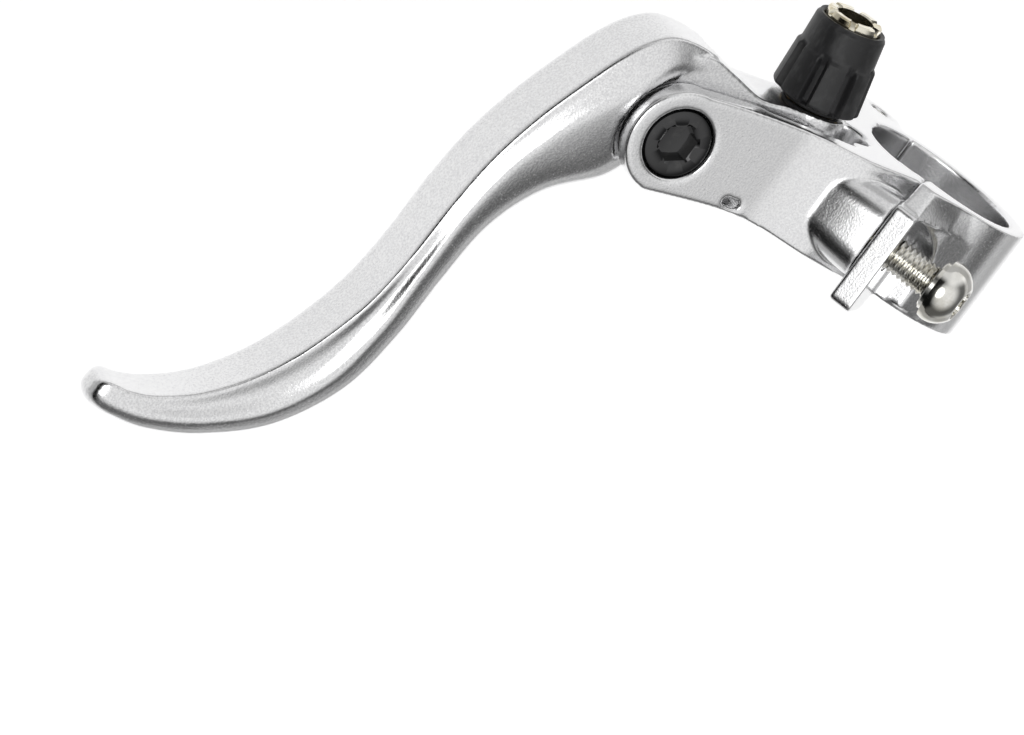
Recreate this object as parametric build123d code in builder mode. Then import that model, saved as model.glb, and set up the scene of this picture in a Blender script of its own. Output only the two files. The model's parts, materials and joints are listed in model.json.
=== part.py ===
from build123d import *
from math import cos, radians, sin
import os

# A two-finger brake lever that clamps to the straight of a handlebar and sits in the run of the
# brake's wire. The origin is the centre of the bar, under the middle of the clamp. X runs
# along the bar, towards the adjuster, Y points forward and Z is parallel to the lever's pivot.

# Clamp
bar_radius = 11.1
clamp_width = 16.4
band_radius = 13.5
body_ring_radius = 14.4
split_angle = 47.0
hinge_side_angle = -93.0
split_gap_angle = 1.2
reach = 60.0

# Hinge of the clamp band
hinge_y = 1.6
hinge_z = -17.6
knuckle_radius = 3.4
knuckle_half_width = 4.0
knuckle_side_gap = 0.25
hinge_pin_radius = 1.5
hinge_hole_radius = 1.55

# Clamp bolt, square to the split
bolt_x = -1.4
bolt_distance = 18.0
lug_low = -11.0
lug_high = 4.7
lug_inner_distance = 12.2
lug_outer_distance = 21.3
lug_thickness = 3.3
bolt_hole_radius = 2.75
bolt_thread_radius = 2.45
tapped_hole_radius = 2.5
tapped_hole_depth = 9.0
bolt_lead_width = 5.6
bolt_lead_run = 1.2
bolt_lead_depth = 3.0
bolt_head_radius = 4.55
bolt_head_height = 4.5
bolt_rim_height = 0.7
bolt_socket_across = 4.0
bolt_socket_depth = 2.2
bolt_length = 13.0
washer_radius = 3.7
washer_thickness = 1.2
bolt_backed_out = 6.4
lug_start = 0.1
lug_end = lug_start + lug_thickness

# Pivot and the two ears that carry it
pivot_x = -5.0
pivot_y = 43.0
ear_radius = 7.6
ear_face = 8.1
gap_half = 4.7
counterbore_radius = 5.05
counterbore_depth = 2.0
axle_radius = 2.95
axle_hole_radius = 3.0
pivot_head_radius = 4.85
pivot_head_height = 1.8
pivot_thread_radius = 2.0
pivot_thread_length = 8.5
pivot_socket_across = 5.0
pivot_socket_depth = 1.7
nut_bore_depth = 9.0
lever_half = 4.35
bush_radius = 4.0
pivot_washer_radius = 5.6

# Adjuster, screwed into the lever's short arm
adjuster_x = 8.1
adjuster_y = 24.3
adjuster_angle = 11.6
knob_base_radius = 6.2
knob_top_radius = 5.0
knob_height = 11.6
knob_rib_height = 6.8
knob_ribs = 8
screw_radius = 3.45
screw_hole_radius = 3.5
screw_length = 8.5
socket_sleeve_radius = 4.3
wire_radius = 1.2
housing_radius = 2.6
ferrule_radius = 3.1
ferrule_collar_radius = 3.9
ferrule_notches = 6

tiny = 0.05


def bolt_plane(depth):
    """The plane square to the clamp bolt, this far from the split, with its Y pointing off the bar."""
    angle = radians(split_angle)
    y = bolt_distance * cos(angle) - depth * sin(angle)
    z = bolt_distance * sin(angle) + depth * cos(angle)
    return Plane(origin=(bolt_x, y, z), x_dir=(1, 0, 0), z_dir=(0, -sin(angle), cos(angle)))


def adjuster_plane(depth):
    """The plane square to the adjuster, this far outside the knob's base, with its X along Z."""
    angle = radians(adjuster_angle)
    x = adjuster_x + depth * cos(angle)
    y = adjuster_y + depth * sin(angle)
    return Plane(origin=(x, y, 0), x_dir=(0, 0, 1), z_dir=(cos(angle), sin(angle), 0))


def pivot_plane(z):
    """The plane square to the pivot at this height."""
    return Plane(origin=(pivot_x, pivot_y, z), x_dir=(1, 0, 0), z_dir=(0, 0, 1))


def round_the_bar(angle, distance):
    """A point of the YZ plane at this angle from +Y and this distance from the bar's centre."""
    return (distance * cos(radians(angle)), distance * sin(radians(angle)))


def write_piece(builder, label):
    """Label a finished piece and write its STEP file."""
    builder.part.label = label
    export_step(builder.part, "parts/" + label + ".step")


os.makedirs("parts", exist_ok=True)

# ---------------------------------------------------------------- bracket body
# A casting that widens from the two ears of the pivot to half a clamp ring. Its plan and its
# side profile are crossed, then the boss of the clamp bolt grows out of the upper side.

body_reach = 26.0
ear_front = pivot_y + ear_radius
flat_start = 28.0
boss_stations = [(0.0, 12.6, 9.1, -1.25), (6.5, 12.0, 8.9, -1.2), (11.5, 9.8, 7.2, -0.9), (15.0, 5.6, 3.4, 0.2)]

with BuildPart() as body:
    with BuildSketch(Plane.XY.offset(-body_reach)):
        with BuildLine():
            half = clamp_width / 2
            inward = Spline((half, 7.0), (6.5, 19.0), (4.9, 31.0), (pivot_x + ear_radius, pivot_y))
            nose = RadiusArc(inward @ 1, (pivot_x - ear_radius, pivot_y), -ear_radius)
            outward = Spline(nose @ 1, (-10.9, 36.5), (-9.5, 30.0), (-8.9, 18.0), (-half, 5.0))
            back = Polyline(outward @ 1, (-half, -body_reach), (half, -body_reach), inward @ 0)
        make_face()
    extrude(amount=2 * body_reach)
    with BuildSketch(Plane.YZ.offset(-reach / 2)):
        with BuildLine():
            split_top = round_the_bar(split_angle, body_ring_radius)
            hinge_root = round_the_bar(hinge_side_angle, band_radius)
            upper = Spline(split_top, (17.0, 10.3), (flat_start, ear_face), tangents=((0.7, -0.3), (1, 0)))
            front = Polyline(upper @ 1, (ear_front, ear_face), (ear_front, -ear_face), (flat_start + 3, -ear_face))
            flare = Spline(front @ 1, (19.0, -10.4), (11.0, -14.6), (5.0, -19.2), tangents=((-1, 0), (-0.9, -0.9)))
            knuckle_end = (hinge_y - knuckle_radius, hinge_z)
            knuckle = ThreePointArc(flare @ 1, (hinge_y, hinge_z - knuckle_radius), knuckle_end)
            ring_end = Polyline(knuckle_end, hinge_root, (0, 0), split_top)
        make_face()
    extrude(amount=reach, mode=Mode.INTERSECT)

    # Boss of the clamp bolt
    for depth, length, height, rise in boss_stations:
        with BuildSketch(bolt_plane(-depth)):
            with Locations((0, rise)):
                RectangleRounded(length, height, min(length, height) * 0.44)
    loft()

    # Bar, pivot and bolt holes
    with BuildSketch(Plane.YZ.offset(-reach / 2)):
        Circle(bar_radius)
    extrude(amount=reach, mode=Mode.SUBTRACT)
    with BuildSketch(pivot_plane(-reach / 2)):
        Circle(axle_hole_radius)
    extrude(amount=reach, mode=Mode.SUBTRACT)
    for side in (-1, 1):
        with BuildSketch(pivot_plane(side * (ear_face - counterbore_depth))):
            Circle(counterbore_radius)
        extrude(amount=side * reach, mode=Mode.SUBTRACT)
    with BuildSketch(bolt_plane(1)):
        Circle(tapped_hole_radius)
    extrude(amount=-1 - tapped_hole_depth, mode=Mode.SUBTRACT)
    with BuildSketch(bolt_plane(1)):
        with Locations((0, -bolt_lead_run / 2)):
            SlotCenterToCenter(bolt_lead_run, bolt_lead_width, rotation=90)
    extrude(amount=-1 - bolt_lead_depth, mode=Mode.SUBTRACT)

    # Channel between the ears, open in front and towards the adjuster
    channel_end = 13.4
    channel_end_half = 3.6
    web_inner = -4.6
    web_front = 31.0
    with BuildSketch(Plane.YZ.offset(web_inner)):
        with BuildLine():
            arc_start = channel_end + channel_end_half
            Polyline((reach, -channel_end_half), (arc_start, -channel_end_half))
            ThreePointArc((arc_start, -channel_end_half), (channel_end, 0), (arc_start, channel_end_half))
            Polyline((arc_start, channel_end_half), (reach, channel_end_half), (reach, -channel_end_half))
        make_face()
    extrude(amount=reach, mode=Mode.SUBTRACT)
    with BuildSketch(Plane.YZ.offset(-reach / 2)):
        with Locations((web_front + reach / 2, 0)):
            Rectangle(reach, 2 * gap_half)
    extrude(amount=reach, mode=Mode.SUBTRACT)

    # Wider part of the channel, round the lever's screwed boss
    pocket_start = 17.6
    pocket_end = 33.6
    pocket_half = 5.6
    with BuildSketch(Plane.YZ.offset(web_inner)):
        with Locations(((pocket_start + pocket_end) / 2, 0)):
            RectangleRounded(pocket_end - pocket_start, 2 * pocket_half, 1.5)
    extrude(amount=reach, mode=Mode.SUBTRACT)

    # Seat of the wire's housing in the outer wall, and the notch that the wire is laid in through
    housing_depth = 14.5
    notch_centre = (-8.2, 30.5)
    notch_length = 2.7
    notch_width = 1.3
    notch_angle = 98.0
    with BuildSketch(adjuster_plane(-housing_depth)):
        Circle(housing_radius)
    extrude(amount=-reach, mode=Mode.SUBTRACT)
    with BuildSketch(adjuster_plane(-housing_depth - 1)):
        Circle(wire_radius)
    extrude(amount=10.0, mode=Mode.SUBTRACT)
    with BuildSketch(Plane.XY.offset(gap_half - 1)):
        with Locations(notch_centre):
            SlotOverall(notch_length, notch_width, rotation=notch_angle)
    extrude(amount=reach, mode=Mode.SUBTRACT)

    # Window for the band's knuckle, and the hinge pin's hole
    window_half = knuckle_half_width + knuckle_side_gap
    with BuildSketch(Plane.YZ.offset(-window_half)):
        with Locations((hinge_y, hinge_z)):
            Circle(knuckle_radius + 0.4)
        with Locations((hinge_y - 2.2, hinge_z)):
            Rectangle(2 * knuckle_radius + 0.8 - 4.4, 2 * knuckle_radius + 0.8)
        with Locations((hinge_y - 4.0, hinge_z + 1.6)):
            Rectangle(6.0, 8.0)
    extrude(amount=2 * window_half, mode=Mode.SUBTRACT)
    with BuildSketch(Plane.YZ.offset(-reach / 2)):
        with Locations((hinge_y, hinge_z)):
            Circle(hinge_hole_radius)
    extrude(amount=reach, mode=Mode.SUBTRACT)
write_piece(body, "bracket_body")


def axial_plane(plane):
    """The plane through another plane's normal, with its Y along that normal."""
    return Plane(origin=plane.origin, x_dir=plane.x_dir, z_dir=-plane.y_dir)


def turned(plane, outline):
    """A turned piece: an outline of (radius, height) points revolved about the plane's normal."""
    with BuildPart() as piece:
        with BuildSketch(axial_plane(plane)):
            with BuildLine():
                Polyline(*outline, close=True)
            make_face()
        revolve(axis=Axis(plane.origin, plane.z_dir))
    return piece


# ---------------------------------------------------------------- clamp band
# The other half of the ring, hung on the hinge pin. Its free end stands up as a plate for the
# clamp bolt, and the ring behind the plate is thick, with a scoop for the bolt's head.

band_start = split_angle + split_gap_angle
band_end = 360 + hinge_side_angle - split_gap_angle
fairing_low = -7.6
fairing_high = 4.4
fairing_root = 12.2
scoop_radius = 5.5


def fairing_outline(top, back):
    """The side profile of the band's thick part, this high at the plate and at its middle."""
    return [
        round_the_bar(band_start, fairing_root),
        round_the_bar(band_start, top),
        round_the_bar(split_angle + 9, top + 0.3),
        round_the_bar(74, back),
        round_the_bar(100, band_radius - 0.1),
        round_the_bar(90, fairing_root),
    ]


with BuildPart() as band:
    with BuildSketch(Plane.YZ.offset(-clamp_width / 2)):
        with BuildLine():
            outer = CenterArc((0, 0), band_radius, band_start, band_end - band_start)
            inner = CenterArc((0, 0), bar_radius, band_start, band_end - band_start)
            Line(outer @ 0, inner @ 0)
            Line(outer @ 1, inner @ 1)
        make_face()
    extrude(amount=clamp_width)

    # Thick part behind the plate, falling away from it towards the end of the clamp
    with BuildSketch(Plane.YZ.offset(fairing_low)):
        Polygon(*fairing_outline(17.5, 15.0), align=None)
    extrude(amount=fairing_high - fairing_low)
    for end, top, back in ((fairing_high, 20.4, 14.6), (clamp_width / 2, 16.6, 13.9)):
        with BuildSketch(Plane.YZ.offset(end)):
            Polygon(*fairing_outline(top, back), align=None)
    loft()

    # Plate
    with BuildSketch(bolt_plane(lug_start)):
        lug_middle = (lug_inner_distance + lug_outer_distance) / 2 - bolt_distance
        with Locations(((lug_low + lug_high) / 2 - bolt_x, lug_middle)):
            RectangleRounded(lug_high - lug_low, lug_outer_distance - lug_inner_distance, 0.8)
    extrude(amount=lug_thickness)
    with BuildSketch(bolt_plane(lug_end)):
        Circle(scoop_radius)
        with Locations((-scoop_radius, 0)):
            Rectangle(2 * scoop_radius, 2 * scoop_radius)
        with Locations((0, scoop_radius)):
            Rectangle(2 * scoop_radius, 2 * scoop_radius)
    extrude(amount=reach, mode=Mode.SUBTRACT)
    with BuildSketch(bolt_plane(0)):
        Circle(bolt_hole_radius)
    extrude(amount=lug_end + 1, mode=Mode.SUBTRACT)

    # Knuckle
    with BuildSketch(Plane.YZ.offset(-knuckle_half_width)):
        with Locations((hinge_y, hinge_z)):
            Circle(knuckle_radius)
        with BuildLine():
            Polyline(
                (-0.95, -12.3),
                (-4.6, -12.2),
                (hinge_y - knuckle_radius + 0.1, hinge_z),
                (hinge_y, hinge_z),
                (0.2, -14.6),
                (0.0, -13.2),
                close=True,
            )
        make_face()
    extrude(amount=2 * knuckle_half_width)
    with BuildSketch(Plane.YZ.offset(-reach / 2)):
        with Locations((hinge_y, hinge_z)):
            Circle(hinge_hole_radius)
    extrude(amount=reach, mode=Mode.SUBTRACT)
    with BuildSketch(Plane.YZ.offset(-reach / 2)):
        Circle(bar_radius)
    extrude(amount=reach, mode=Mode.SUBTRACT)
write_piece(band, "clamp_band")

# ---------------------------------------------------------------- hinge pin
pin_half = clamp_width / 2 - 0.3
pin_plane = Plane(origin=(-pin_half, hinge_y, hinge_z), x_dir=(0, 1, 0), z_dir=(1, 0, 0))
hinge_pin = turned(pin_plane, [(0, 0), (hinge_pin_radius, 0), (hinge_pin_radius, 2 * pin_half), (0, 2 * pin_half)])
write_piece(hinge_pin, "hinge_pin")

# ---------------------------------------------------------------- clamp bolt and its washer
# The bolt stands backed out of the bracket, as it does when the clamp is opened.

washer_base = lug_end + bolt_backed_out
head_base = washer_base + washer_thickness

washer_hole = bolt_thread_radius + 0.1
washer_outline = [
    (washer_hole, 0),
    (washer_radius, 0),
    (washer_radius, washer_thickness),
    (washer_hole, washer_thickness),
]
clamp_washer = turned(bolt_plane(washer_base), washer_outline)
write_piece(clamp_washer, "clamp_washer")

with BuildPart() as clamp_bolt:
    head_plane = bolt_plane(head_base)
    with BuildSketch(axial_plane(head_plane)):
        with BuildLine():
            base = Line((0, 0), (bolt_head_radius, 0))
            rim = Line(base @ 1, (bolt_head_radius, bolt_rim_height))
            dome_rise = bolt_head_height - bolt_rim_height
            dome = EllipticalCenterArc(rim @ 1 - (bolt_head_radius, 0), bolt_head_radius, dome_rise, 0, arc_size=90)
            Line(dome @ 1, base @ 0)
        make_face()
    revolve(axis=Axis(head_plane.origin, head_plane.z_dir))
    with BuildSketch(head_plane):
        Circle(bolt_thread_radius)
    extrude(amount=-bolt_length)
    with BuildSketch(bolt_plane(head_base + bolt_head_height)):
        RegularPolygon(bolt_socket_across / 2, 6, major_radius=False)
    extrude(amount=-bolt_socket_depth, mode=Mode.SUBTRACT)
write_piece(clamp_bolt, "clamp_bolt")

# ---------------------------------------------------------------- lever
# One casting: a curved finger blade in front of the ears, a hub between them and a short arm
# behind, which ends in the boss that the adjuster screws into.

hub_radius = 6.6
boss_radius = 5.2
boss_seat = -0.8
boss_length = 8.6
swing_clearance = 0.4
blade_stations = [
    ((1.5, 55.4), (-6.0, 44.0), 10.4),
    ((-6.0, 59.2), (-11.5, 41.2), 11.4),
    ((-12.5, 61.2), (-16.6, 45.8), 11.4),
    ((-20.0, 63.0), (-21.6, 50.8), 11.4),
    ((-28.5, 63.7), (-28.0, 54.6), 11.2),
    ((-38.0, 64.0), (-37.0, 56.2), 10.6),
    ((-46.0, 65.1), (-48.0, 56.7), 10.2),
    ((-54.5, 68.2), (-58.6, 59.4), 10.0),
    ((-61.5, 72.3), (-67.0, 65.0), 9.4),
    ((-67.6, 78.2), (-73.0, 74.0), 9.0),
    ((-70.9, 84.2), (-76.0, 82.0), 8.4),
    ((-72.0, 88.0), (-76.2, 87.4), 7.0),
]
blade_tip = (-74.3, 88.2)
blade_tip_radius = 2.4

with BuildPart() as lever:
    for front_point, back_point, width in blade_stations:
        front_edge = Vector(*front_point)
        back_edge = Vector(*back_point)
        across = front_edge - back_edge
        section = Plane(origin=(front_edge + back_edge) / 2, x_dir=across, z_dir=across.cross(Vector(0, 0, 1)))
        with BuildSketch(section):
            RectangleRounded(across.length, width, 0.34 * min(across.length, width))
    loft()
    with BuildSketch(Plane.XY.offset(-blade_tip_radius)):
        with Locations(blade_tip):
            Circle(blade_tip_radius)
    extrude(amount=2 * blade_tip_radius)

    # Room for the ears
    for side in (-1, 1):
        with BuildSketch(pivot_plane(side * lever_half)):
            Circle(ear_radius + swing_clearance)
        extrude(amount=side * reach, mode=Mode.SUBTRACT)

    # Hub and arm
    seat_plane = adjuster_plane(boss_seat - tiny)
    seat_front = seat_plane.origin - seat_plane.y_dir * 5.9
    seat_rear = seat_plane.origin + seat_plane.y_dir * 1.0
    with BuildSketch(Plane.XY.offset(-lever_half)):
        with Locations((pivot_x, pivot_y)):
            Circle(hub_radius)
        with BuildLine():
            inward_face = Spline(seat_front, (5.4, 34.0), (6.2, 40.0), (6.9, 46.0), (5.2, 52.2), (0.0, 56.3))
            Polyline(inward_face @ 1, (-9.0, 54.0), (-10.8, 46.0), (-10.4, 39.2), (-3.7, 33.0), (-1.0, 27.8))
            Polyline((-1.0, 27.8), (-0.4, 23.6), seat_rear, inward_face @ 0)
        make_face()
    extrude(amount=2 * lever_half)
    with BuildSketch(adjuster_plane(boss_seat)):
        Circle(boss_radius)
    extrude(amount=-boss_length)

    # Holes for the bush and the adjuster, and the wire's way out of the arm
    with BuildSketch(pivot_plane(-reach / 2)):
        Circle(bush_radius)
    extrude(amount=reach, mode=Mode.SUBTRACT)
    with BuildSketch(adjuster_plane(boss_seat + 1)):
        Circle(screw_hole_radius)
    extrude(amount=-boss_length - 2, mode=Mode.SUBTRACT)
write_piece(lever, "lever_blade")

# ---------------------------------------------------------------- pivot
# A domed nut with a long hollow shank is the axle, and a socket-headed bolt closes it.

counterbore_floor = ear_face - counterbore_depth
head_start = counterbore_floor + tiny
shank_end = counterbore_floor - 0.3

with BuildPart() as pivot_nut:
    far_plane = Plane(origin=(pivot_x, pivot_y, -head_start), x_dir=(1, 0, 0), z_dir=(0, 0, -1))
    shank_reach = head_start + shank_end
    bore_reach = shank_reach - nut_bore_depth
    nut_bore = pivot_thread_radius + tiny
    nut_rim = 0.8
    nut_rise = pivot_head_height - nut_rim
    nut_dome_radius = (pivot_head_radius**2 + nut_rise**2) / (2 * nut_rise)
    with BuildSketch(axial_plane(far_plane)):
        with BuildLine():
            dome = RadiusArc((pivot_head_radius, nut_rim), (0, pivot_head_height), -nut_dome_radius)
            Polyline(dome @ 1, (0, -bore_reach), (nut_bore, -bore_reach), (nut_bore, -shank_reach))
            Polyline((nut_bore, -shank_reach), (axle_radius, -shank_reach), (axle_radius, 0))
            Polyline((axle_radius, 0), (pivot_head_radius, 0), dome @ 0)
        make_face()
    revolve(axis=Axis(far_plane.origin, far_plane.z_dir))
write_piece(pivot_nut, "pivot_nut")

with BuildPart() as pivot_bolt:
    with BuildSketch(pivot_plane(head_start)):
        Circle(pivot_head_radius)
    extrude(amount=pivot_head_height)
    top_rim = pivot_bolt.edges().sort_by(Axis.Z)[-1]
    chamfer(top_rim, 0.4)
    with BuildSketch(pivot_plane(head_start)):
        Circle(pivot_thread_radius)
    extrude(amount=-pivot_thread_length)
    with BuildSketch(pivot_plane(head_start + pivot_head_height)):
        RegularPolygon(pivot_socket_across / 2, 6, major_radius=False)
    extrude(amount=-pivot_socket_depth, mode=Mode.SUBTRACT)
write_piece(pivot_bolt, "pivot_bolt")

bush_inner = axle_radius + tiny
bush_outline = [(bush_inner, 0), (bush_radius, 0), (bush_radius, 2 * lever_half), (bush_inner, 2 * lever_half)]
pivot_bush = turned(pivot_plane(-lever_half), bush_outline)
write_piece(pivot_bush, "pivot_bush")

washer_height = gap_half - lever_half - 2 * tiny
pivot_washer_outline = [
    (bush_inner, 0),
    (pivot_washer_radius, 0),
    (pivot_washer_radius, washer_height),
    (bush_inner, washer_height),
]
near_washer = turned(pivot_plane(lever_half + tiny), pivot_washer_outline)
write_piece(near_washer, "pivot_washer_upper")
far_washer = turned(pivot_plane(-gap_half + tiny), pivot_washer_outline)
write_piece(far_washer, "pivot_washer_lower")

# ---------------------------------------------------------------- adjuster
# A hollow screw moulded into a ribbed knob. The housing ends in a notched ferrule that sits
# in the screw and doesn't turn with it, and a rubber ring under the knob keeps the setting.

screw_top = 10.0
sleeve_bore = ferrule_radius + tiny
ferrule_start = 2.6
ferrule_top = 12.6
screw_outline = [
    (wire_radius, -screw_length),
    (screw_radius, -screw_length),
    (screw_radius, 0.2),
    (socket_sleeve_radius, 0.2),
    (socket_sleeve_radius, screw_top),
    (sleeve_bore, screw_top),
    (sleeve_bore, ferrule_start - 0.1),
    (wire_radius, ferrule_start - 0.1),
]
adjuster_screw = turned(adjuster_plane(0), screw_outline)
write_piece(adjuster_screw, "adjuster_screw")

collar_hole = ferrule_collar_radius + 0.1
rib_depth = 1.1
step_radius = knob_base_radius + (knob_top_radius - knob_base_radius) * knob_rib_height / knob_height
with BuildPart() as knob:
    with BuildSketch(axial_plane(adjuster_plane(0))):
        with BuildLine():
            Polyline(
                (socket_sleeve_radius, 0),
                (knob_base_radius - 0.8, 0),
                (step_radius - 0.5, knob_rib_height),
                (step_radius - 0.3, knob_rib_height + 0.8),
                (knob_top_radius, knob_height),
                (collar_hole, knob_height),
                (collar_hole, screw_top + 0.1),
                (socket_sleeve_radius, screw_top + 0.1),
                close=True,
            )
        make_face()
    revolve(axis=Axis(adjuster_plane(0).origin, adjuster_plane(0).z_dir))
    for turn in range(knob_ribs):
        angle = 360 * turn / knob_ribs
        with BuildSketch(adjuster_plane(0)):
            with PolarLocations(knob_base_radius - rib_depth / 2, 1, start_angle=angle):
                Rectangle(rib_depth, 2.6)
        with BuildSketch(adjuster_plane(knob_rib_height)):
            with PolarLocations(step_radius - rib_depth / 2, 1, start_angle=angle):
                Rectangle(rib_depth, 2.2)
        loft()
write_piece(knob, "adjuster_knob")

with BuildPart() as ferrule:
    with BuildSketch(axial_plane(adjuster_plane(0))):
        with BuildLine():
            Polyline(
                (wire_radius, ferrule_start),
                (ferrule_radius, ferrule_start),
                (ferrule_radius, screw_top + 0.3),
                (ferrule_collar_radius, screw_top + 0.3),
                (ferrule_collar_radius, ferrule_top),
                (housing_radius, ferrule_top),
                (housing_radius, ferrule_start + 1.2),
                (wire_radius, ferrule_start + 1.2),
                close=True,
            )
        make_face()
    revolve(axis=Axis(adjuster_plane(0).origin, adjuster_plane(0).z_dir))
    with BuildSketch(adjuster_plane(ferrule_top)):
        with PolarLocations(ferrule_collar_radius, ferrule_notches):
            Rectangle(1.4, 0.8)
    extrude(amount=-1.0, mode=Mode.SUBTRACT)
write_piece(ferrule, "housing_ferrule")

with BuildPart() as seal:
    ring_plane = adjuster_plane(boss_seat / 2)
    with BuildSketch(axial_plane(ring_plane)):
        with Locations((screw_radius + 0.45, 0)):
            Circle(0.38)
    revolve(axis=Axis(ring_plane.origin, ring_plane.z_dir))
write_piece(seal, "adjuster_o_ring")
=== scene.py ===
import json
import math
import bmesh
import bpy
from mathutils import Matrix, Vector


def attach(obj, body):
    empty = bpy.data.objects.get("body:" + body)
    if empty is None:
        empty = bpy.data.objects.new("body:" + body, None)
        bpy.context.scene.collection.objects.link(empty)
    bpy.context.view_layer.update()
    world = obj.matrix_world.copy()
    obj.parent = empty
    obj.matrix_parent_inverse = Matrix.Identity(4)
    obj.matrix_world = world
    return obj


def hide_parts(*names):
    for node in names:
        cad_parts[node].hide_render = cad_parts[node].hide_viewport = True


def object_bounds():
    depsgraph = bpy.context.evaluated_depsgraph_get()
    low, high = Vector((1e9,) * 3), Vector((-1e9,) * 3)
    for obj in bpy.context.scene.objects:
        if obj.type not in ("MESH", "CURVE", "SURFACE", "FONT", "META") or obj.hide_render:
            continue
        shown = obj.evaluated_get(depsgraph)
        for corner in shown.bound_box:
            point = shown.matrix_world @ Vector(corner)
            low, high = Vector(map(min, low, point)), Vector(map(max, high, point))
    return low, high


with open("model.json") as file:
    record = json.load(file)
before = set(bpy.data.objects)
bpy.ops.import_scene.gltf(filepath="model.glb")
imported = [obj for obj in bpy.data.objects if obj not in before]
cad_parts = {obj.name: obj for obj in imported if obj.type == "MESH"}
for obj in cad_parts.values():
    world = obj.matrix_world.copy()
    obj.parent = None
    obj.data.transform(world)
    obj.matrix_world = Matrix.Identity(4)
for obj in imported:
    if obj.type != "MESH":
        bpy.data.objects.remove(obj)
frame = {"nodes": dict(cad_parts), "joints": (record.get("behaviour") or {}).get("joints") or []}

cad_box = [list(corner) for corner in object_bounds()]

# ---------------------------------------------------------------- camera
# A long lens looks down on the clamp-bolt side of the lever, from a little in front of it.
# The bar's centre, which is the origin, stands at the right of the frame.
toward_camera = Vector((0.165, 0.5717, 0.804)).normalized()
camera_up = Vector((0.789, 0.4128, -0.4556))
camera_right = camera_up.cross(toward_camera).normalized()
camera_up = toward_camera.cross(camera_right)
camera_distance = 2.5
frame_width = 0.13581
aim = camera_right * -0.05225 + camera_up * -0.01903

camera_data = bpy.data.cameras.new("camera")
camera_data.sensor_width = 36.0
camera_data.lens = 36.0 * camera_distance / frame_width
camera = bpy.data.objects.new("camera", camera_data)
turn = Matrix((camera_right, camera_up, toward_camera)).transposed().to_4x4()
camera.matrix_world = Matrix.Translation(aim + toward_camera * camera_distance) @ turn
bpy.context.scene.collection.objects.link(camera)
bpy.context.scene.camera = camera


# ---------------------------------------------------------------- studio
# A bright ceiling and soft box over a dim room, with a dark strip low in front and lit walls
# behind and at the adjuster's side, as polished metal is lit for a catalogue. The floor is
# pale paper, well below, with a painted pool of light: its colour and a painted glow are
# brightest round the lever and fade to grey away from it.
class Value:
    """One output of a node, so that sums on it are written as Python."""

    def __init__(self, tree, socket=None):
        self.tree = tree
        self.socket = socket

    def node(self, kind, settings=None, inputs=None, output=0):
        """Any node: its settings, then the values or links of its sockets."""
        made = self.tree.nodes.new(kind)
        for name, setting in (settings or {}).items():
            setattr(made, name, setting)
        for name, value in (inputs or {}).items():
            if isinstance(value, Value):
                self.tree.links.new(value.socket, made.inputs[name])
            else:
                made.inputs[name].default_value = value
        return Value(self.tree, made.outputs[output])

    def maths(self, operation, first, second=0.0):
        return self.node("ShaderNodeMath", {"operation": operation}, {0: first, 1: second})

    def __add__(self, other):
        return self.maths("ADD", self, other)

    def __sub__(self, other):
        return self.maths("SUBTRACT", self, other)

    def __rsub__(self, other):
        return self.maths("SUBTRACT", other, self)

    def __mul__(self, other):
        return self.maths("MULTIPLY", self, other)

    __radd__ = __add__
    __rmul__ = __mul__

    def step(self, low, high):
        """0 below low, 1 above high, and a soft step between them."""
        settings = {"interpolation_type": "SMOOTHSTEP"}
        inputs = {"Value": self, "From Min": low, "From Max": high}
        return self.node("ShaderNodeMapRange", settings, inputs)


world = bpy.data.worlds.new("studio")
bpy.context.scene.world = world
world.use_nodes = True
world.node_tree.nodes.clear()
studio = Value(world.node_tree)
direction = studio.node("ShaderNodeTexCoord", output="Generated")


def toward(x, y, z):
    """How far the view turns to this side of the studio, as a cosine."""
    side = Vector((x, y, z)).normalized()
    settings = {"operation": "DOT_PRODUCT"}
    return direction.node("ShaderNodeVectorMath", settings, {0: direction, 1: side}, "Value")


height = toward(0, 0, 1)
front = toward(0, 1, 0)
soft_box = toward(0.0, 0.56, 0.83).step(0.925, 0.97)
back_wall = toward(0, -1, 0).step(0.3, 0.8) * (1 - height.step(0.1, 0.32))
side_wall = toward(1, 0, 0).step(0.55, 0.85)
ceiling = height.step(0.5, 0.95)
dark_strip = front.step(0.05, 0.4) * (1 - height.step(0.42, 0.62))
light = (0.13 + 0.75 * ceiling) * (1 - 0.95 * dark_strip)
light = light + 1.8 * soft_box + 0.45 * back_wall + 0.7 * side_wall
camera_ray = studio.node("ShaderNodeLightPath", output="Is Camera Ray")
light = light * (1 - camera_ray) + 0.97 * camera_ray
background = studio.node("ShaderNodeBackground", None, {"Color": (1, 1, 1, 1), "Strength": light})
world_out = world.node_tree.nodes.new("ShaderNodeOutputWorld")
world.node_tree.links.new(background.socket, world_out.inputs["Surface"])
bpy.context.scene.view_settings.view_transform = "Standard"


def finish(name):
    """A new material and the start of its nodes."""
    material = bpy.data.materials.new(name)
    material.use_nodes = True
    material.node_tree.nodes.clear()
    nodes = Value(material.node_tree)
    return material, nodes, nodes.node("ShaderNodeTexCoord", output="Object")


def close(nodes, inputs):
    """The surface that ends a material's nodes."""
    shader = nodes.node("ShaderNodeBsdfPrincipled", None, inputs)
    out = nodes.tree.nodes.new("ShaderNodeOutputMaterial")
    nodes.tree.links.new(shader.socket, out.inputs["Surface"])


def noise(place, scale, detail=2.0, stretch=None):
    """Noise through a solid, this fine, stretched along an axis if need be."""
    if stretch:
        place = place.node("ShaderNodeMapping", None, {"Vector": place, "Scale": stretch})
    return place.node("ShaderNodeTexNoise", None, {"Vector": place, "Scale": scale, "Detail": detail})


def blend_colours(amount, first, second):
    """From the first colour to the second."""
    colours = {0: amount, 6: (*first, 1), 7: (*second, 1)}
    return amount.node("ShaderNodeMix", {"data_type": "RGBA"}, colours, 2)


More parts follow.
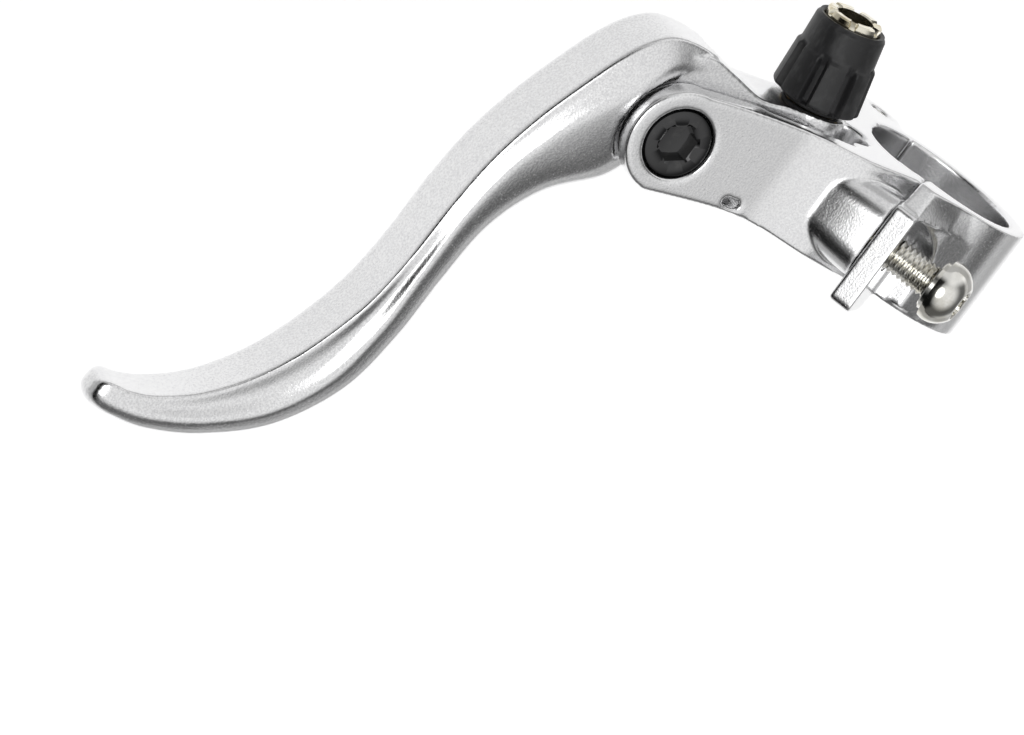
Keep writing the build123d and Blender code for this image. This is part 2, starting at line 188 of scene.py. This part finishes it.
def bump(height_map, distance, strength=1.0):
    """A normal that follows this height map."""
    return height_map.node(
        "ShaderNodeBump", None, {"Height": height_map, "Distance": distance, "Strength": strength}
    )


floor_drop = 0.12
floor_height = cad_box[0][2] - floor_drop
paper, nodes, place = finish("paper_with_painted_light")
fibres = noise(place, 900.0, 4.0)
# Painted light: the floor's colour and a painted glow fade from bright round this centre to grey. This is a
# painted pool of light, and the floor is no lamp.
lit_centre = Vector((-0.07, -0.045, floor_height))
offset = place.node("ShaderNodeVectorMath", {"operation": "DISTANCE"}, {0: place, 1: lit_centre}, "Value")
painted_light_falloff = (offset + 0.004 * fibres).step(0.12, 0.43)
paper_and_painted_pool = blend_colours(painted_light_falloff, (0.95, 0.95, 0.95), (0.66, 0.66, 0.66))
painted_floor_glow = blend_colours(painted_light_falloff, (0.42, 0.42, 0.42), (0.0, 0.0, 0.0))
close(
    nodes,
    {
        "Base Color": paper_and_painted_pool,
        "Roughness": 0.9,
        "Emission Color": painted_floor_glow,
        "Emission Strength": 1.0,
    },
)
floor_mesh = bpy.data.meshes.new("floor")
floor_half = 4.0
corners = [(-1, -1), (1, -1), (1, 1), (-1, 1)]
floor_points = [(x * floor_half, y * floor_half, floor_height) for x, y in corners]
floor_mesh.from_pydata(floor_points, [], [(0, 1, 2, 3)])
floor_mesh.materials.append(paper)
floor = bpy.data.objects.new("floor", floor_mesh)
bpy.context.scene.collection.objects.link(floor)


# ---------------------------------------------------------------- bracket body
# An aluminium casting: two ears for the pivot and half of the clamp ring. It is sand-blasted,
# then polished, which rounds every edge and leaves a faint grain.
def cast_aluminium(name, dark, pale, gloss, grain_height):
    """Polished casting: cloudy tone, fine grain, a few pores and drawn-out polishing marks."""
    material, nodes, place = finish(name)
    grain = noise(place, 3600.0, 4.0)
    clouds = noise(place, 420.0, 4.0)
    marks = noise(place, 320.0, 3.0, (1.0, 5.0, 5.0))
    pores = place.node("ShaderNodeTexVoronoi", None, {"Vector": place, "Scale": 1500.0}, "Distance")
    pitted = 1 - pores.step(0.06, 0.16)
    tone = (0.75 * grain.step(0.32, 0.68) + 0.25 * clouds) * (1 - 0.5 * pitted)
    relief = grain * 0.6 + marks * 0.25 - pitted * 0.5
    close(
        nodes,
        {
            "Base Color": blend_colours(tone, dark, pale),
            "Metallic": 1.0,
            "Roughness": gloss + 0.1 * grain + 0.02 * clouds,
            "Normal": bump(relief, grain_height),
        },
    )
    return material


def add_piece(name, mesh, material, body, slot, *nodes):
    """A finished mesh becomes a piece that rides on a body in place of its CAD nodes."""
    mesh.materials.clear()
    mesh.materials.append(material)
    piece = bpy.data.objects.new(name, mesh)
    bpy.context.scene.collection.objects.link(piece)
    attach(piece, body)
    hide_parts(*nodes)
    return piece


def applied(mesh, modifiers):
    """A mesh after these modifiers, each a type and its settings."""
    holder = bpy.data.objects.new("holder", mesh)
    bpy.context.scene.collection.objects.link(holder)
    for kind, settings in modifiers:
        modifier = holder.modifiers.new(kind.lower(), kind)
        for name, setting in settings.items():
            setattr(modifier, name, setting)
    graph = bpy.context.evaluated_depsgraph_get()
    result = bpy.data.meshes.new_from_object(holder.evaluated_get(graph))
    bpy.data.objects.remove(holder)
    return result


def softened(mesh, voxel, rounds):
    """A mesh cast anew on a fine grid, with its edges rubbed round."""
    result = applied(
        mesh,
        [
            ("REMESH", {"mode": "VOXEL", "voxel_size": voxel}),
            ("SMOOTH", {"factor": 0.5, "iterations": rounds}),
        ],
    )
    result.shade_smooth()
    return result


casting_grid = 0.00022
body_rubbing = 24
bright_casting = cast_aluminium("polished_casting", (0.76, 0.76, 0.77), (0.92, 0.92, 0.92), 0.15, 0.000022)
body_mesh = softened(frame["nodes"]["bracket_body"].data.copy(), casting_grid, body_rubbing)
add_piece("bracket", body_mesh, bright_casting, "bracket", "polished_casting", "bracket_body")

# ---------------------------------------------------------------- clamp band
# The loose half of the ring is the same casting. Its plate and the scoop for the bolt's head
# are cast in, and its knuckle hangs between the body's two on a pin.
band_rubbing = 14
band_mesh = softened(frame["nodes"]["clamp_band"].data.copy(), casting_grid, band_rubbing)
add_piece("band", band_mesh, bright_casting, "band", "polished_casting", "clamp_band")


# ---------------------------------------------------------------- hinge pin
# A plain drawn steel pin, pressed through the knuckles, with its ends chamfered.
class Axle:
    """A line through a turned piece: a point on it, its direction and two directions across."""

    def __init__(self, point, direction, across=(0.0, 0.0, 1.0)):
        self.point = Vector(point)
        self.along = Vector(direction).normalized()
        self.across = (Vector(across) - self.along * self.along.dot(Vector(across))).normalized()
        self.third = self.along.cross(self.across)

    def at(self, radius, angle, distance):
        spoke = self.across * math.cos(angle) + self.third * math.sin(angle)
        return self.point + spoke * radius + self.along * distance

    def reach(self, node):
        """Where a CAD node starts and ends along the line."""
        distances = [(v.co - self.point).dot(self.along) for v in frame["nodes"][node].data.vertices]
        return min(distances), max(distances)

    def radius(self, node):
        """How far a CAD node reaches from the line."""
        return max((v.co - self.point).cross(self.along).length for v in frame["nodes"][node].data.vertices)


def lathe(axle, outline, steps=96, shape=None, sharp=30.0):
    """A ring-shaped mesh: an outline of (radius, distance) points turned round an axle.
    shape(angle, index, radius, distance) may move each point. Radius 0 at both ends closes it."""
    mesh = bpy.data.meshes.new("turned")
    points = []
    faces = []
    rings = len(outline)
    closed = outline[0][0] > 0
    for index, (radius, distance) in enumerate(outline):
        for step in range(steps):
            angle = 2 * math.pi * step / steps
            moved = shape(angle, index, radius, distance) if shape else (radius, distance)
            points.append(axle.at(moved[0], angle, moved[1]))
    for index in range(rings if closed else rings - 1):
        following = (index + 1) % rings
        for step in range(steps):
            beside = (step + 1) % steps
            ring = (index * steps + step, following * steps + step)
            faces.append((ring[0], ring[1], following * steps + beside, index * steps + beside))
    mesh.from_pydata(points, [], faces)
    shell = bmesh.new()
    shell.from_mesh(mesh)
    bmesh.ops.remove_doubles(shell, verts=shell.verts, dist=1e-7)
    bmesh.ops.recalc_face_normals(shell, faces=shell.faces)
    shell.to_mesh(mesh)
    shell.free()
    mesh.shade_smooth()
    mesh.set_sharp_from_angle(angle=math.radians(sharp))
    return mesh


def bevelled(outline, size):
    """An outline with each corner off the axis cut by this much."""
    cut = []
    for index, corner in enumerate(outline):
        before = Vector(outline[index - 1])
        here = Vector(corner)
        after = Vector(outline[(index + 1) % len(outline)])
        if here.x == 0:
            cut.append(tuple(here))
            continue
        for other in (before, after):
            run = other - here
            cut.append(tuple(here + run * min(size / run.length, 0.4)))
    return cut


def plated_metal(name, dark, pale, gloss, scratch):
    """Bright plate: nearly even tone, fine turning marks and a little tarnish."""
    material, nodes, place = finish(name)
    tarnish = noise(place, 380.0, 4.0)
    fine = noise(place, 5200.0, 2.0)
    close(
        nodes,
        {
            "Base Color": blend_colours(tarnish.step(0.35, 0.6), dark, pale),
            "Metallic": 1.0,
            "Roughness": gloss + 0.1 * fine + 0.06 * tarnish,
            "Normal": bump(fine, scratch),
        },
    )
    return material


nickel_plate = plated_metal("nickel_plate", (0.66, 0.64, 0.58), (0.86, 0.85, 0.81), 0.03, 0.000002)
band_hinge = next(joint for joint in frame["joints"] if joint["name"] == "band_hinge")
hinge = Axle(band_hinge["pos_m"], band_hinge["axis"])
pin_start, pin_end = hinge.reach("hinge_pin")
pin_radius = hinge.radius("hinge_pin")
pin_outline = bevelled([(0, pin_start), (pin_radius, pin_start), (pin_radius, pin_end), (0, pin_end)], 0.0003)
pin_mesh = lathe(hinge, pin_outline, 48)
add_piece("hinge_pin_steel", pin_mesh, nickel_plate, "bracket", "plated_steel", "hinge_pin")

# ---------------------------------------------------------------- clamp washer
# A bright punched washer that the bolt's head turns on. Punching leaves its rim rounded.
bolt_turn = next(joint for joint in frame["joints"] if joint["name"] == "clamp_bolt_turn")
bolt = Axle(bolt_turn["pos_m"], bolt_turn["axis"], (1, 0, 0))
washer_start, washer_end = bolt.reach("clamp_washer")
washer_radius = bolt.radius("clamp_washer")
thread_radius = 0.00245
washer_hole = thread_radius + 0.0001
washer_outline = [
    (washer_hole, washer_start),
    (washer_radius, washer_start),
    (washer_radius, washer_end),
    (washer_hole, washer_end),
]
washer_mesh = lathe(bolt, bevelled(washer_outline, 0.0002))
add_piece("washer", washer_mesh, nickel_plate, "bolt_washer", "plated_steel", "clamp_washer")

# ---------------------------------------------------------------- clamp bolt
# A nickel-plated steel screw with a tall polished dome for a head, a hexagon socket in the
# dome's end and a rolled thread.
head_height = 0.0045
rim_height = 0.0007
socket_half = 0.002
socket_depth = 0.0022
bolt_start, bolt_end = bolt.reach("clamp_bolt")
head_radius = bolt.radius("clamp_bolt")
head_start = bolt_end - head_height
thread_pitch = 0.0008
thread_depth = 0.0004


def arc_points(centre, across, along, start, end, count):
    """Points on an ellipse's quarter or less, from one angle to another in degrees."""
    points = []
    for index in range(count + 1):
        angle = math.radians(start + (end - start) * index / count)
        points.append((centre[0] + across * math.cos(angle), centre[1] + along * math.sin(angle)))
    return points


dome = arc_points((0, head_start + rim_height), head_radius, head_height - rim_height, 0, 56, 18)
socket_mouth = (socket_half + 0.0003, dome[-1][1])
socket_floor = bolt_end - socket_depth
bolt_outline = [(0, socket_floor - 0.0006), (socket_half * 0.7, socket_floor), (socket_half, socket_floor)]
bolt_outline += [(socket_half, dome[-1][1] - 0.0002), socket_mouth]
hexagon_rings = range(2, 4)
bolt_outline += reversed(dome)
bolt_outline += [(head_radius - 0.0001, head_start), (thread_radius, head_start)]
smooth_rings = len(bolt_outline)
thread_rings = round((head_start - bolt_start) / 0.00008)
for ring in range(thread_rings + 1):
    distance = head_start + (bolt_start - head_start) * ring / thread_rings
    bolt_outline.append((thread_radius, distance))
bolt_outline.append((0, bolt_start))


def bolt_shape(angle, index, radius, distance):
    if index in hexagon_rings:
        sixth = math.pi / 3
        radius = socket_half / math.cos(angle % sixth - sixth / 2)
    if smooth_rings <= index < len(bolt_outline) - 1:
        turn = (distance / thread_pitch - angle / (2 * math.pi)) % 1
        ends = min(1, (distance - bolt_start) / 0.0006, (head_start - distance) / 0.0003)
        radius -= thread_depth * (abs(2 * turn - 1) * max(0, ends) + 0.6 * (1 - max(0, ends)))
    return radius, distance


bolt_mesh = lathe(bolt, bolt_outline, 96, bolt_shape, 42.0)
add_piece("bolt", bolt_mesh, nickel_plate, "bolt", "plated_steel", "clamp_bolt")

# ---------------------------------------------------------------- lever
# One aluminium casting. The finger blade has a flat front face with a crisp edge, sides that
# swell and then draw in towards the back, and a small bulb at its tip. A hub sits between the
# ears, and a short arm behind it ends in the boss that the adjuster screws into.
lever_pivot = next(joint for joint in frame["joints"] if joint["name"] == "lever_pivot")
adjuster_turn = next(joint for joint in frame["joints"] if joint["name"] == "adjuster_turn")
pivot = Axle(lever_pivot["pos_m"], lever_pivot["axis"], (1, 0, 0))
adjuster = Axle(adjuster_turn["pos_m"], adjuster_turn["axis"])
mm = 0.001
lever_half = 4.35
relief_radius = 8.0

# Front point, back point, half width of the front face, widest half width, how far forward
# that lies and how deep the side is hollowed before it, for each section along the blade
blade_sections = [
    ((7.0, 43.0), (1.5, 41.0), 3.7, 4.3, 0.6, 0.0),
    ((7.0, 47.2), (0.8, 44.4), 3.8, 4.5, 0.6, 0.0),
    ((6.2, 50.8), (-1.0, 45.4), 4.0, 5.0, 0.6, 0.0),
    ((3.9, 53.6), (-3.4, 45.2), 4.2, 5.5, 0.58, 0.0),
    ((0.2, 56.0), (-6.4, 44.2), 4.4, 5.9, 0.62, 0.0),
    ((-4.8, 58.2), (-9.8, 43.2), 4.5, 5.9, 0.72, 0.0),
    ((-12.0, 60.9), (-14.8, 45.2), 4.5, 5.8, 0.78, 0.0),
    ((-20.0, 62.9), (-20.6, 51.7), 4.5, 5.7, 0.76, 0.0),
    ((-28.5, 63.7), (-28.2, 55.5), 4.4, 5.6, 0.72, 0.0),
    ((-38.0, 63.9), (-37.4, 56.3), 4.3, 5.3, 0.68, 0.25),
    ((-46.0, 65.0), (-47.4, 56.5), 4.2, 5.1, 0.58, 0.38),
    ((-54.5, 68.0), (-57.0, 58.3), 4.0, 5.0, 0.48, 0.32),
    ((-61.0, 71.7), (-66.2, 64.2), 3.8, 4.8, 0.46, 0.32),
    ((-66.4, 76.6), (-72.2, 72.6), 3.6, 4.5, 0.5, 0.25),
    ((-69.8, 81.8), (-75.2, 80.0), 3.4, 4.1, 0.52, 0.1),
    ((-71.2, 85.6), (-76.0, 85.4), 3.2, 3.6, 0.5, 0.0),
    ((-71.6, 88.4), (-75.9, 88.4), 2.8, 3.1, 0.5, 0.0),
    ((-72.2, 89.7), (-75.2, 89.8), 2.0, 2.3, 0.5, 0.0),
    ((-73.0, 90.2), (-74.4, 90.25), 0.9, 1.1, 0.5, 0.0),
]


def half_section(face, widest, ridge, hollow):
    """Half of a section as points of (back to front, half width)."""
    swell = widest - face
    return [
        (1.0, 0.0),
        (1.0, 0.5 * face),
        (1.0, 0.88 * face),
        (0.985, 0.985 * face),
        (0.94, face + 0.12 * swell - 0.3 * hollow),
        ((0.94 + ridge) / 2, face + 0.62 * swell - 2.0 * hollow),
        (ridge, widest),
        (0.64 * ridge, 0.93 * widest),
        (0.3 * ridge, 0.77 * widest),
        (0.06, 0.5 * widest),
        (0.0, 0.2 * widest),
        (0.0, 0.0),
    ]


def curve_through(points, spans, closed=False):
    """Points on a smooth curve through a list of tuples of numbers, this many to each gap."""
    count = len(points)
    result = []
    for index in range(count if closed else count - 1):
        if closed:
            near = [points[(index + shift) % count] for shift in (-1, 0, 1, 2)]
        else:
            near = [points[min(max(index + shift, 0), count - 1)] for shift in (-1, 0, 1, 2)]
        for span in range(spans):
            t = span / spans
            weights = (
                -0.5 * t + t**2 - 0.5 * t**3,
                1 - 2.5 * t**2 + 1.5 * t**3,
                0.5 * t + 2 * t**2 - 1.5 * t**3,
                -0.5 * t**2 + 0.5 * t**3,
            )
            values = zip(*near)
            result.append(tuple(sum(w * v for w, v in zip(weights, column)) for column in values))
    if not closed:
        result.append(points[-1])
    return result


def shell_mesh(points, faces):
    """A closed shell with its faces turned outward."""
    mesh = bpy.data.meshes.new("shell")
    mesh.from_pydata(points, [], faces)
    shell = bmesh.new()
    shell.from_mesh(mesh)
    bmesh.ops.recalc_face_normals(shell, faces=shell.faces)
    shell.to_mesh(mesh)
    shell.free()
    return mesh


def slab_mesh(outline, half_height):
    """An outline in XY made into a slab about Z = 0."""
    count = len(outline)
    points = [(x, y, -half_height) for x, y in outline] + [(x, y, half_height) for x, y in outline]
    faces = [tuple(range(count)), tuple(range(count, 2 * count))]
    faces += [(i, (i + 1) % count, count + (i + 1) % count, count + i) for i in range(count)]
    return shell_mesh(points, faces)


def blade_mesh():
    """The finger blade: its half section set up at each station and mirrored."""
    stations = curve_through([(*front, *back, *shape) for front, back, *shape in blade_sections], 10)
    points = []
    for front_x, front_y, back_x, back_y, *shape in stations:
        upper = curve_through(half_section(*shape), 4)
        ring = upper + [(u, -w) for u, w in reversed(upper[1:-1])]
        for u, w in ring:
            x = back_x + (front_x - back_x) * u
            y = back_y + (front_y - back_y) * u
            points.append((x * mm, y * mm, w * mm))
    count = len(ring)
    faces = [tuple(range(count)), tuple(range(len(points) - count, len(points)))]
    for row in range(len(stations) - 1):
        for i in range(count):
            beside = (i + 1) % count
            low = row * count
            faces.append((low + i, low + beside, low + count + beside, low + count + i))
    return shell_mesh(points, faces)


def cut_by(mesh, *cutters):
    """A mesh with other closed meshes taken out of it."""
    holders = []
    modifiers = []
    for cutter in cutters:
        holder = bpy.data.objects.new("cutter", cutter)
        bpy.context.scene.collection.objects.link(holder)
        holders.append(holder)
        modifiers.append(("BOOLEAN", {"operation": "DIFFERENCE", "solver": "EXACT", "object": holder}))
    result = applied(mesh, modifiers)
    for holder in holders:
        bpy.data.objects.remove(holder)
    return result


def disc(axle, radius, start, end, steps=96):
    """A closed cylinder about an axle."""
    return lathe(axle, [(0, start), (radius, start), (radius, end), (0, end)], steps)


def joined(meshes):
    """Several shells in one mesh."""
    both = bmesh.new()
    for mesh in meshes:
        both.from_mesh(mesh)
    result = bpy.data.meshes.new("joined")
    both.to_mesh(result)
    both.free()
    return result


seat_height = -0.85 * mm
boss_radius = 5.2 * mm
boss_length = 8.6 * mm
screw_hole = 3.5 * mm
bush_radius = 4.0 * mm
hub_radius = 6.6 * mm
forward = adjuster.third if adjuster.third.y > 0 else -adjuster.third
seat_centre = adjuster.point + adjuster.along * seat_height
seat_front_reach = 0.0059
seat_rear_reach = 0.001
seat_front = (seat_centre + forward * seat_front_reach) / mm
seat_rear = (seat_centre - forward * seat_rear_reach) / mm
arm_front = [seat_front.xy, (5.2, 34.0), (6.1, 39.5), (6.6, 44.0), (4.6, 47.6), (0.0, 50.0)]
arm_face = curve_through(arm_front, 8)
arm_back = [(-9.0, 50.0), (-10.8, 46.0), (-10.4, 39.2), (-3.7, 33.0), (-1.0, 27.8), (-0.4, 23.6)]
arm_outline = arm_face + arm_back
arm_outline.append(seat_rear.xy)
arm_mesh = slab_mesh([(x * mm, y * mm) for x, y in arm_outline], lever_half * mm)
boss_mesh = disc(adjuster, boss_radius, seat_height - boss_length, seat_height)
hub_mesh = disc(pivot, hub_radius, -lever_half * mm, lever_half * mm)

past_lever = 0.02
past_boss = 0.002
bush_hole = disc(pivot, bush_radius, -past_lever, past_lever)
upper_relief = disc(pivot, relief_radius * mm, lever_half * mm, past_lever)
lower_relief = disc(pivot, relief_radius * mm, -past_lever, -lever_half * mm)
screw_way = disc(adjuster, screw_hole, seat_height - boss_length - past_boss, seat_height + past_boss)
blade_cut = cut_by(blade_mesh(), upper_relief, lower_relief, bush_hole)
arm_cut = cut_by(arm_mesh, bush_hole, screw_way)
lever_shells = [blade_cut, arm_cut, cut_by(boss_mesh, screw_way), cut_by(hub_mesh, bush_hole)]
lever_rubbing = 5
lever_mesh = softened(joined(lever_shells), casting_grid, lever_rubbing)
grained_casting = cast_aluminium("lever_casting", (0.7, 0.7, 0.71), (0.92, 0.92, 0.92), 0.14, 0.00003)
add_piece("lever", lever_mesh, grained_casting, "lever", "lever_casting", "lever_blade")


# ---------------------------------------------------------------- pivot bush and washers
# A sintered bronze bush is pressed into the hub, and a thin nylon washer at each end of it
# keeps the lever from rubbing on the ears.
def small_ring(axle, node, hole):
    """A plain ring in the place of a CAD node, with its corners broken."""
    start, end = axle.reach(node)
    rim = axle.radius(node)
    outline = [(hole, start), (rim, start), (rim, end), (hole, end)]
    return lathe(axle, bevelled(outline, 0.00008), 64)


turned_brass = plated_metal("turned_brass", (0.52, 0.38, 0.16), (0.72, 0.56, 0.28), 0.16, 0.000004)
nylon, nodes, place = finish("natural_nylon")
nylon_cloud = noise(place, 900.0, 3.0)
nylon_tone = blend_colours(nylon_cloud, (0.78, 0.78, 0.74), (0.88, 0.88, 0.85))
close(nodes, {"Base Color": nylon_tone, "Roughness": 0.45, "Normal": bump(nylon_cloud, 0.00001)})

axle_hole = 3.0 * mm
add_piece("bush", small_ring(pivot, "pivot_bush", axle_hole), turned_brass, "lever", "bronze", "pivot_bush")
for washer in ("pivot_washer_upper", "pivot_washer_lower"):
    ring = small_ring(pivot, washer, axle_hole)
    add_piece(washer.replace("pivot_", "nylon_"), ring, nylon, "bracket", "nylon", washer)

# ---------------------------------------------------------------- pivot nut and bolt
# The axle is a domed nut with a hollow shank, closed by a bolt with a hexagon socket. Both
# are steel, blackened and oiled, and sit in the ears' counterbores.
black_oxide, nodes, place = finish("black_oxide")
wear = noise(place, 500.0, 5.0)
oil = noise(place, 2600.0, 2.0)
close(
    nodes,
    {
        "Base Color": blend_colours(wear.step(0.55, 0.8), (0.008, 0.008, 0.009), (0.035, 0.034, 0.033)),
        "Metallic": 0.5,
        "Roughness": 0.08 + 0.1 * wear + 0.04 * oil,
        "Coat Weight": 1.0,
        "Coat Roughness": 0.04,
        "Normal": bump(wear + 0.4 * oil, 0.000006),
    },
)
nut_start, nut_end = pivot.reach("pivot_nut")
nut_radius = pivot.radius("pivot_nut")
nut_rim = 0.8 * mm
nut_rise = 1.0 * mm
axle_radius = 2.95 * mm
axle_bore = 2.05 * mm
nut_face = nut_start + nut_rim + nut_rise
nut_outline = [(0, nut_start)]
nut_outline += [(nut_radius * step / 12, nut_start + nut_rise * (step / 12) ** 2) for step in range(1, 12)]
nut_outline += [
    (nut_radius - 0.0001, nut_start + nut_rise),
    (nut_radius, nut_start + nut_rise + 0.0001),
    (nut_radius, nut_face),
    (axle_radius, nut_face),
    (axle_radius, nut_end),
    (axle_bore, nut_end),
    (axle_bore, nut_end - 9.0 * mm),
    (0, nut_end - 9.0 * mm),
]
nut_mesh = lathe(pivot, nut_outline, 96, None, 40.0)
add_piece("axle_nut", nut_mesh, black_oxide, "bracket", "blackened_steel", "pivot_nut")

axle_socket_half = 2.5 * mm
axle_socket_depth = 1.7 * mm
screw_start, screw_end = pivot.reach("pivot_bolt")
axle_head_radius = pivot.radius("pivot_bolt")
axle_head_start = screw_end - 1.8 * mm
axle_socket_floor = screw_end - axle_socket_depth
axle_thread_radius = 2.0 * mm
bevel = 0.45 * mm
axle_bolt_outline = [
    (0, axle_socket_floor - 0.0003),
    (axle_socket_half * 0.75, axle_socket_floor),
    (axle_socket_half, axle_socket_floor),
    (axle_socket_half, screw_end - 0.0003),
    (axle_socket_half + 0.0006, screw_end),
    (axle_head_radius - bevel, screw_end),
    (axle_head_radius - 0.3 * bevel, screw_end - 0.3 * bevel),
    (axle_head_radius, screw_end - bevel),
    (axle_head_radius, axle_head_start),
    (axle_thread_radius, axle_head_start),
    (axle_thread_radius, screw_start + 0.0003),
    (axle_thread_radius - 0.0003, screw_start),
    (0, screw_start),
]


def axle_socket(angle, index, radius, distance):
    if index in (2, 3):
        sixth = math.pi / 3
        radius = axle_socket_half / math.cos(angle % sixth - sixth / 2)
    return radius, distance


axle_bolt_mesh = lathe(pivot, axle_bolt_outline, 96, axle_socket)
add_piece("axle_bolt", axle_bolt_mesh, black_oxide, "bracket", "blackened_steel", "pivot_bolt")

# ---------------------------------------------------------------- adjuster screw
# A hollow brass screw with a fine thread, moulded into the knob at its outer end.
sleeve_radius = 4.3 * mm
adjuster_start, adjuster_end = adjuster.reach("adjuster_screw")
adjuster_thread = 3.45 * mm
adjuster_pitch = 1.0 * mm
adjuster_thread_depth = 0.0004
adjuster_thread_rings = 80
sleeve_start = 0.0002
sleeve_floor = 0.0025
wire_hole = 1.2 * mm
sleeve_bore = 3.15 * mm
adjuster_outline = [(wire_hole, adjuster_start), (adjuster_thread - adjuster_thread_depth, adjuster_start)]
thread_first = len(adjuster_outline)
for ring in range(adjuster_thread_rings + 1):
    distance = adjuster_start + (0.0001 - adjuster_start) * ring / adjuster_thread_rings
    adjuster_outline.append((adjuster_thread, distance))
thread_last = len(adjuster_outline)
adjuster_outline += [
    (adjuster_thread, sleeve_start),
    (sleeve_radius, sleeve_start),
    (sleeve_radius, adjuster_end),
    (sleeve_bore, adjuster_end),
    (sleeve_bore, sleeve_floor),
    (wire_hole, sleeve_floor),
]


def screw_shape(angle, index, radius, distance):
    if thread_first <= index < thread_last:
        turn = (distance / adjuster_pitch - angle / (2 * math.pi)) % 1
        radius -= adjuster_thread_depth * abs(2 * turn - 1)
    return radius, distance


screw_mesh = lathe(adjuster, adjuster_outline, 96, screw_shape, 42.0)
add_piece("screw", screw_mesh, turned_brass, "adjuster", "bronze", "adjuster_screw")

# ---------------------------------------------------------------- adjuster knob
# Black glass-filled nylon, injection moulded. Flat-topped finger ribs cover its wide end and
# run out into a plain cone.
knob_start, knob_end = adjuster.reach("adjuster_knob")
knob_base = adjuster.radius("adjuster_knob") - 0.00005
knob_top = 5.0 * mm
knob_hole = 4.0 * mm
rib_end = 7.1 * mm
rib_count = 8
rib_share = 0.72
groove_depth = 0.6 * mm
knob_rings = 56
rib_height = 0.00045


def ramp(low, high, value):
    """0 to 1, softly, as a value goes from low to high."""
    t = min(1.0, max(0.0, (value - low) / (high - low)))
    return t * t * (3 - 2 * t)


def cone_radius(distance):
    """The plain cone that the ribs stand on."""
    return knob_base - rib_height + (knob_top - knob_base + rib_height) * distance / knob_end


knob_outline = [(sleeve_radius, knob_start), (knob_base - 0.0009, knob_start)]
knob_side_first = len(knob_outline)
for ring in range(knob_rings + 1):
    distance = 0.0002 + (knob_end - 0.0005) * ring / knob_rings
    knob_outline.append((cone_radius(distance), distance))
knob_side_last = len(knob_outline)
knob_outline += [
    (knob_top - 0.0003, knob_end),
    (knob_hole + 0.0003, knob_end),
    (knob_hole, knob_end - 0.0003),
    (knob_hole, adjuster_end + 0.0001),
    (sleeve_radius, adjuster_end + 0.0001),
]


def knob_shape(angle, index, radius, distance):
    if knob_side_first <= index < knob_side_last:
        turn = (angle * rib_count / (2 * math.pi)) % 1
        from_middle = abs(turn - 0.5) * 2
        rib = 1 - ramp(rib_share - 0.12, rib_share + 0.12, from_middle)
        run_out = 1 - ramp(rib_end - 0.0005, rib_end, distance)
        groove_out = 1 - ramp(rib_end - 0.0015, rib_end + 0.0006, distance)
        rib_top = rib_height - 0.0001 * distance / rib_end
        radius += rib * rib_top * run_out - (1 - rib) * groove_depth * groove_out
        radius -= 0.00035 * (1 - ramp(0.0, 0.0006, distance))
        radius -= 0.0003 * ramp(knob_end - 0.0006, knob_end - 0.0002, distance)
    return radius, distance


black_nylon, nodes, place = finish("black_nylon")
moulding = noise(place, 3200.0, 4.0)
scuffs = noise(place, 420.0, 5.0, (1.0, 1.0, 3.0))
close(
    nodes,
    {
        "Base Color": blend_colours(scuffs.step(0.45, 0.75), (0.012, 0.012, 0.013), (0.035, 0.035, 0.036)),
        "Roughness": 0.36 + 0.14 * scuffs + 0.08 * moulding,
        "Normal": bump(moulding, 0.000018),
    },
)
knob_mesh = lathe(adjuster, knob_outline, 288, knob_shape, 50.0)
add_piece("knob", knob_mesh, black_nylon, "adjuster", "black_plastic", "adjuster_knob")

# ---------------------------------------------------------------- housing ferrule
# A nickel-plated brass cup that takes the end of the wire's housing. Notches in its collar
# click round as the knob turns.
ferrule_start, ferrule_end = adjuster.reach("housing_ferrule")
ferrule_radius = 3.1 * mm
collar_radius = 3.9 * mm
housing_radius = 2.6 * mm
notch_depth = 1.0 * mm
notch_count = 6
collar_start = adjuster_end + 0.0003
ferrule_outline = [
    (wire_hole, ferrule_start),
    (ferrule_radius, ferrule_start),
    (ferrule_radius, collar_start),
    (collar_radius, collar_start),
    (collar_radius, ferrule_end - notch_depth),
    (collar_radius, ferrule_end - 0.0002),
    (collar_radius - 0.0002, ferrule_end),
    (housing_radius + 0.0002, ferrule_end),
    (housing_radius, ferrule_end - 0.0002),
    (housing_radius, ferrule_end - notch_depth),
    (housing_radius, ferrule_start + 0.0012),
    (wire_hole, ferrule_start + 0.0012),
]


def ferrule_shape(angle, index, radius, distance):
    if index in (4, 5, 6, 7):
        turn = (angle * notch_count / (2 * math.pi)) % 1
        notch = 1 - ramp(0.22, 0.3, abs(turn - 0.5) * 2)
        if index == 4:
            distance -= 0.0001
        elif index == 7:
            distance -= notch * 0.3 * notch_depth
        else:
            distance -= notch * (notch_depth - 0.0002)
    return radius, distance


nickel_brass = plated_metal("nickel_brass", (0.6, 0.53, 0.36), (0.86, 0.82, 0.7), 0.08, 0.000004)
ferrule_mesh = lathe(adjuster, ferrule_outline, 192, ferrule_shape, 35.0)
add_piece("ferrule", ferrule_mesh, nickel_brass, "ferrule", "nickel_brass", "housing_ferrule")

# ---------------------------------------------------------------- o-ring
# A nitrile ring under the knob keeps the setting and the water out.
ring_start, ring_end = adjuster.reach("adjuster_o_ring")
ring_thick = (ring_end - ring_start) / 2
ring_middle = (ring_start + ring_end) / 2
ring_radius = adjuster.radius("adjuster_o_ring") - ring_thick
ring_outline = []
for step in range(24):
    angle = 2 * math.pi * step / 24
    radius = ring_radius + ring_thick * math.cos(angle)
    ring_outline.append((radius, ring_middle + ring_thick * math.sin(angle)))
nitrile, nodes, place = finish("nitrile")
bloom = noise(place, 1800.0, 3.0)
nitrile_tone = blend_colours(bloom, (0.01, 0.01, 0.01), (0.035, 0.035, 0.035))
close(nodes, {"Base Color": nitrile_tone, "Roughness": 0.6 + 0.2 * bloom, "Normal": bump(bloom, 0.00001)})
seal_mesh = lathe(adjuster, ring_outline, 96, None, 60.0)
add_piece("o_ring", seal_mesh, nitrile, "adjuster", "rubber", "adjuster_o_ring")
